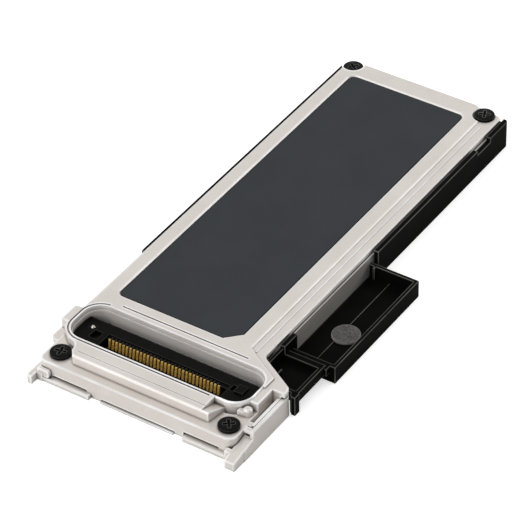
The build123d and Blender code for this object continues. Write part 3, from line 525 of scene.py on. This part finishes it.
# facets that lie flatter than flatAngle join first, and only edges over sharpAngle are broken
breakCut = {
    "weld": 0.002 * mm, "flatAngle": math.radians(0.5), "steps": 2, "sharpAngle": math.radians(40),
}


def breakEdges(node, width):
    weld = node.modifiers.new("weld", "WELD")
    weld.merge_threshold = breakCut["weld"]
    flat = node.modifiers.new("flatten", "DECIMATE")
    flat.decimate_type = "DISSOLVE"
    flat.angle_limit = breakCut["flatAngle"]
    bevel = node.modifiers.new("breakEdges", "BEVEL")
    bevel.width = width * mm
    bevel.segments = breakCut["steps"]
    bevel.limit_method = "ANGLE"
    bevel.angle_limit = breakCut["sharpAngle"]
    bevel.use_clamp_overlap = True
    bevel.harden_normals = False


for name, width in edgeBreaks.items():
    breakEdges(nodes[name], width)
print("edges broken:", len(edgeBreaks))


# felt pad in the tray: a round disc with a soft rim, and rings on its top that carry the fuzz
feltPad = {
    "sides": 64, "edgeRound": 0.12 * mm, "roundSteps": 3, "roundProfile": 0.5,
    "rings": 5, "ringsToCentre": 7, "fuzz": 0.035 * mm, "fuzzSize": 0.5 * mm,
}


def makeFeltPad():
    p = feltPad
    low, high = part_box("tray_pad")
    centre = (low + high) / 2
    radius = (high.x - low.x) / 2
    thick = high.z - low.z
    bm = bmesh.new()
    bmesh.ops.create_circle(bm, cap_ends=True, segments=p["sides"], radius=radius)
    lifted = bmesh.ops.extrude_face_region(bm, geom=bm.faces[:])
    rim = [v for v in lifted["geom"] if isinstance(v, bmesh.types.BMVert)]
    bmesh.ops.translate(bm, verts=rim, vec=(0, 0, thick))
    bmesh.ops.recalc_face_normals(bm, faces=bm.faces)
    topEdges = [e for e in bm.edges if all(v.co.z > thick / 2 for v in e.verts)]
    bmesh.ops.bevel(
        bm, geom=topEdges, offset=p["edgeRound"], segments=p["roundSteps"],
        profile=p["roundProfile"], affect="EDGES", material=-1,
    )
    for _ in range(p["rings"]):
        caps = [f for f in bm.faces if len(f.verts) == p["sides"]]
        top = max(caps, key=lambda f: f.calc_center_median().z)
        bmesh.ops.inset_region(
            bm, faces=[top], thickness=radius / p["ringsToCentre"], use_even_offset=True,
        )
    bmesh.ops.translate(bm, verts=bm.verts, vec=(centre.x, centre.y, low.z))
    for vert in bm.verts:
        if vert.co.z > low.z + thick / 2:
            vert.co.z += p["fuzz"] * noise.noise(vert.co / p["fuzzSize"]) - p["fuzz"]
    mesh = bpy.data.meshes.new("feltPad")
    bm.to_mesh(mesh)
    bm.free()
    piece = bpy.data.objects.new("felt_pad", mesh)
    bpy.context.collection.objects.link(piece)
    mesh.materials.append(felt)
    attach(piece, "root")
    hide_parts("tray_pad")


makeFeltPad()
print("felt pad made")


# pan head screws of the cover: crowned heads, each cross turned as it was left when driven home
coverScrew = {
    "headHeight": 0.8 * mm, "shankRadius": 1.0 * mm, "tipShare": 0.8, "tipHeight": 0.25 * mm,
    "rimIn": 0.05 * mm, "rimUp": 0.06 * mm, "steps": 56, "sharpAngle": math.radians(32),
    "crossHalf": 1.2 * mm, "crossWide": 0.3 * mm, "crossNarrow": 0.75, "endNarrow": 0.93,
    "endDepth": 0.3 * mm, "midDepth": 0.62 * mm, "cutBelow": 0.3 * mm,
    # how far out on the head, as a share of its radius, and how far below its top in millimetres
    "crown": (
        (0.0, 0.0), (0.3, 0.012), (0.6, 0.045), (0.84, 0.08),
        (0.91, 0.1), (0.96, 0.14), (0.99, 0.2), (1.0, 0.28),
    ),
    # in degrees
    "turns": {
        "screw_front_left": 12, "screw_front_right": 38,
        "screw_back_left": 55, "screw_back_right": 24,
    },
}
# what counts as the same place, and a small turn in radians that keeps the cross off the spun edges
closeness = {"spun": 0.001 * mm, "cut": 0.0005 * mm, "plane": 1e-7, "wide": 1.01, "offEdges": 0.02}


def cutCross(bm, top):
    # two crossing slots that narrow and deepen towards the middle
    p = coverScrew
    half, wide = p["crossHalf"], p["crossWide"]
    for axis in ((1, 0, 0), (0, 1, 0)):
        for place in (-half, -wide, wide, half):
            faces = [f for f in bm.faces if f.calc_center_median().z > top - p["cutBelow"]]
            parts = set(faces)
            for face in faces:
                parts.update(face.edges)
                parts.update(face.verts)
            bmesh.ops.bisect_plane(
                bm, geom=list(parts), dist=closeness["plane"],
                plane_co=Vector(axis) * place + Vector((0, 0, top)), plane_no=axis,
            )
    slots = []
    for face in bm.faces:
        middle = face.calc_center_median()
        near, far = sorted((abs(middle.x), abs(middle.y)))
        if middle.z > top - p["cutBelow"] and near < wide and far < half:
            slots.append(face)
    sunk = bmesh.ops.extrude_face_region(bm, geom=slots)
    bmesh.ops.delete(bm, geom=[f for f in slots if f.is_valid], context="FACES")
    for vert in sunk["geom"]:
        if isinstance(vert, bmesh.types.BMVert):
            out = min(vert.co.xy.length / half, 1.0)
            vert.co.z = top - p["midDepth"] - (p["endDepth"] - p["midDepth"]) * out
            for axis in (0, 1):
                inSlot = abs(vert.co[axis]) <= wide * closeness["wide"]
                vert.co[axis] *= p["crossNarrow"] if inSlot else p["endNarrow"]


def makeCoverScrew(nodeName, turn):
    p = coverScrew
    low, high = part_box(nodeName)
    radius = (high.x - low.x) / 2
    height = high.z - low.z
    seat = height - p["headHeight"]
    shank = p["shankRadius"]
    outline = [(0, 0), (shank * p["tipShare"], 0), (shank, p["tipHeight"]), (shank, seat)]
    outline += [(radius - p["rimIn"], seat), (radius, seat + p["rimUp"])]
    outline += [(radius * share, height - drop * mm) for share, drop in reversed(p["crown"])]
    bm = bmesh.new()
    verts = [bm.verts.new((r, 0, z)) for r, z in outline]
    edges = [bm.edges.new(pair) for pair in zip(verts, verts[1:])]
    bmesh.ops.spin(
        bm, geom=verts + edges, cent=(0, 0, 0), axis=(0, 0, 1), angle=math.tau,
        steps=p["steps"], use_merge=True,
    )
    bmesh.ops.remove_doubles(bm, verts=bm.verts, dist=closeness["spun"])
    offEdges = Matrix.Rotation(closeness["offEdges"], 3, "Z")
    bmesh.ops.rotate(bm, verts=bm.verts, cent=(0, 0, 0), matrix=offEdges)
    cutCross(bm, height)
    bmesh.ops.remove_doubles(bm, verts=bm.verts, dist=closeness["cut"])
    bmesh.ops.recalc_face_normals(bm, faces=bm.faces)
    driven = Matrix.Rotation(math.radians(turn), 3, "Z")
    bmesh.ops.rotate(bm, verts=bm.verts, cent=(0, 0, 0), matrix=driven)
    middle = ((low.x + high.x) / 2, (low.y + high.y) / 2, low.z)
    bmesh.ops.translate(bm, verts=bm.verts, vec=middle)
    for face in bm.faces:
        face.smooth = True
    for edge in bm.edges:
        edge.smooth = len(edge.link_faces) == 2 and edge.calc_face_angle(0) < p["sharpAngle"]
    mesh = bpy.data.meshes.new(nodeName + "_pan_head")
    bm.to_mesh(mesh)
    bm.free()
    piece = bpy.data.objects.new(nodeName + "_pan_head", mesh)
    bpy.context.collection.objects.link(piece)
    mesh.materials.append(zinc)
    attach(piece, "root")
    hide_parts(nodeName)


for name, turn in coverScrew["turns"].items():
    makeCoverScrew(name, turn)
print("cover screws made:", len(coverScrew["turns"]))


# floor, light and camera
studio = {
    "floor": "f2f2f1", "floorSize": 6.0, "floorRough": 0.9, "floorGap": 0.02 * mm,
    "floorGlow": 0.6, "world": 0.84, "dimSide": 0.22, "dimFrom": -0.4, "dimTo": 0.9,
    "keyPower": 8.4, "keySize": 1.6, "keyPlace": (-0.35, -0.95, 0.6),
    "edgePower": 1.7, "edgeSize": 0.48, "edgePlace": (0.58, 0.6, 0.4),
}


def makeFloor():
    material, shader = newMaterial("paleStudioFloor")
    shader.inputs["Base Color"].default_value = hexColour(studio["floor"])
    shader.inputs["Roughness"].default_value = studio["floorRough"]
    shader.inputs["Emission Color"].default_value = (1, 1, 1, 1)
    rays = addNode(material, "ShaderNodeLightPath")
    addNode(
        material, "ShaderNodeMath", {"operation": "MULTIPLY"},
        {0: rays.outputs["Is Camera Ray"], 1: studio["floorGlow"]},
        (("Value", shader.inputs["Emission Strength"]),),
    )
    bm = bmesh.new()
    bmesh.ops.create_grid(bm, x_segments=1, y_segments=1, size=studio["floorSize"] / 2)
    mesh = bpy.data.meshes.new("floor")
    bm.to_mesh(mesh)
    bm.free()
    floor = bpy.data.objects.new("floor", mesh)
    bpy.context.collection.objects.link(floor)
    floor.location.z = cadBounds[0][2] - studio["floorGap"]
    mesh.materials.append(material)


def makeWorld():
    world = bpy.data.worlds.new("studioWorld")
    bpy.context.scene.world = world
    world.use_nodes = True
    background = world.node_tree.nodes["Background"]
    background.inputs["Color"].default_value = (1, 1, 1, 1)
    rays = addNode(world, "ShaderNodeLightPath")
    towards = addNode(world, "ShaderNodeTexCoord").outputs["Generated"]
    split = addNode(world, "ShaderNodeSeparateXYZ", inputs={"Vector": towards})
    # the room is darker on the side that the tray points to
    side = addNode(
        world, "ShaderNodeMapRange",
        inputs={
            "Value": split.outputs["X"], "From Min": studio["dimFrom"], "From Max": studio["dimTo"],
            "To Min": 1.0, "To Max": studio["dimSide"],
        },
    )
    level = addNode(
        world, "ShaderNodeMapRange",
        inputs={"Value": rays.outputs["Is Glossy Ray"], "To Min": studio["world"], "To Max": 1.0},
    )
    lit = addNode(
        world, "ShaderNodeMath", {"operation": "MULTIPLY"},
        {0: side.outputs["Result"], 1: level.outputs["Result"]},
    )
    addNode(
        world, "ShaderNodeMath", {"operation": "MAXIMUM"},
        {0: lit.outputs["Value"], 1: rays.outputs["Is Camera Ray"]},
        (("Value", background.inputs["Strength"]),),
    )


def makeLamp(name, power, size, place):
    lamp = bpy.data.lights.new(name, "AREA")
    lamp.energy = power
    lamp.shape = "SQUARE"
    lamp.size = size
    holder = bpy.data.objects.new(name, lamp)
    bpy.context.collection.objects.link(holder)
    holder.location = place
    holder.rotation_euler = (-Vector(place)).to_track_quat("-Z", "Y").to_euler()


# the camera stands where the photograph's own corners and edges put it
viewPoint = {
    "place": (0.260525, -0.39673, 0.38454), "lens": 211.38, "sensor": 36, "nearClip": 0.01,
    "right": (0.8359444, 0.5485182, -0.0180206),
    "up": (-0.3339131, 0.5343952, 0.7764817),
}


def makeCamera():
    data = bpy.data.cameras.new("camera")
    data.lens = viewPoint["lens"]
    data.sensor_width = viewPoint["sensor"]
    data.clip_start = viewPoint["nearClip"]
    camera = bpy.data.objects.new("camera", data)
    bpy.context.collection.objects.link(camera)
    right = Vector(viewPoint["right"]).normalized()
    up = Vector(viewPoint["up"])
    up = (up - right * up.dot(right)).normalized()
    turn = Matrix((right, up, right.cross(up))).transposed().to_4x4()
    camera.matrix_world = Matrix.Translation(viewPoint["place"]) @ turn
    bpy.context.scene.camera = camera


makeFloor()
makeWorld()
makeLamp("keyLamp", studio["keyPower"], studio["keySize"], studio["keyPlace"])
makeLamp("edgeLamp", studio["edgePower"], studio["edgeSize"], studio["edgePlace"])
makeCamera()
bpy.context.scene.view_settings.view_transform = "Standard"
print("studio set")
